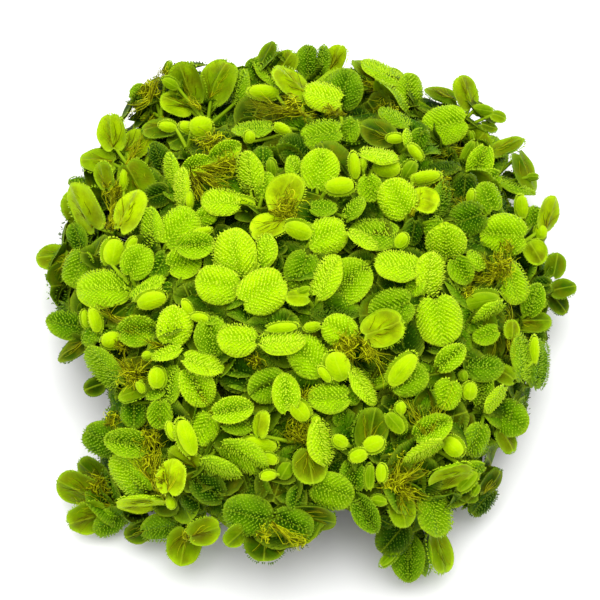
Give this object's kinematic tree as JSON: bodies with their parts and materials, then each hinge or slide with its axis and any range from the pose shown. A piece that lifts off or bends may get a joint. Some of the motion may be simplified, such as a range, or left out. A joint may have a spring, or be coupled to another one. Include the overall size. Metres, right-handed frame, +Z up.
{
  "type": "water spangles clump",
  "caption": "Clump of small floating ferns with rounded hairy leaves, heaped on their matted brown roots.",
  "frame": {"origin": "middle of the flat underside of the root mat, on the surface that the clump rests on", "axes": "+Z up, +X to the right and +Y away from the viewer as the clump is pictured from its front"},
  "size_m": [0.1371, 0.1496, 0.0502],
  "materials": {
    "leaf": "satin",
    "root": "matte"
  },
  "bodies": {
    "root": {"root_mat": "root", "spangle_01": "leaf", "spangle_02": "leaf", "spangle_03": "leaf", "spangle_04": "leaf", "spangle_05": "leaf", "spangle_06": "leaf", "spangle_07": "leaf", "spangle_08": "leaf", "spangle_09": "leaf", "spangle_10": "leaf", "spangle_11": "leaf", "spangle_12": "leaf", "spangle_13": "leaf", "spangle_14": "leaf", "spangle_15": "leaf", "spangle_16": "leaf", "spangle_17": "leaf", "spangle_18": "leaf", "spangle_19": "leaf", "spangle_20": "leaf", "spangle_21": "leaf", "spangle_22": "leaf", "spangle_23": "leaf", "spangle_24": "leaf", "spangle_25": "leaf", "spangle_26": "leaf", "spangle_27": "leaf", "spangle_28": "leaf", "spangle_29": "leaf", "spangle_30": "leaf", "spangle_31": "leaf", "spangle_32": "leaf", "spangle_33": "leaf", "spangle_34": "leaf", "spangle_35": "leaf", "spangle_36": "leaf", "spangle_37": "leaf", "spangle_38": "leaf", "spangle_39": "leaf", "spangle_40": "leaf", "spangle_41": "leaf", "spangle_42": "leaf", "spangle_43": "leaf", "spangle_44": "leaf", "spangle_45": "leaf", "spangle_46": "leaf", "spangle_47": "leaf", "spangle_48": "leaf", "spangle_49": "leaf", "spangle_50": "leaf", "spangle_51": "leaf", "spangle_52": "leaf", "spangle_53": "leaf"}
  },
  "joints": []
}
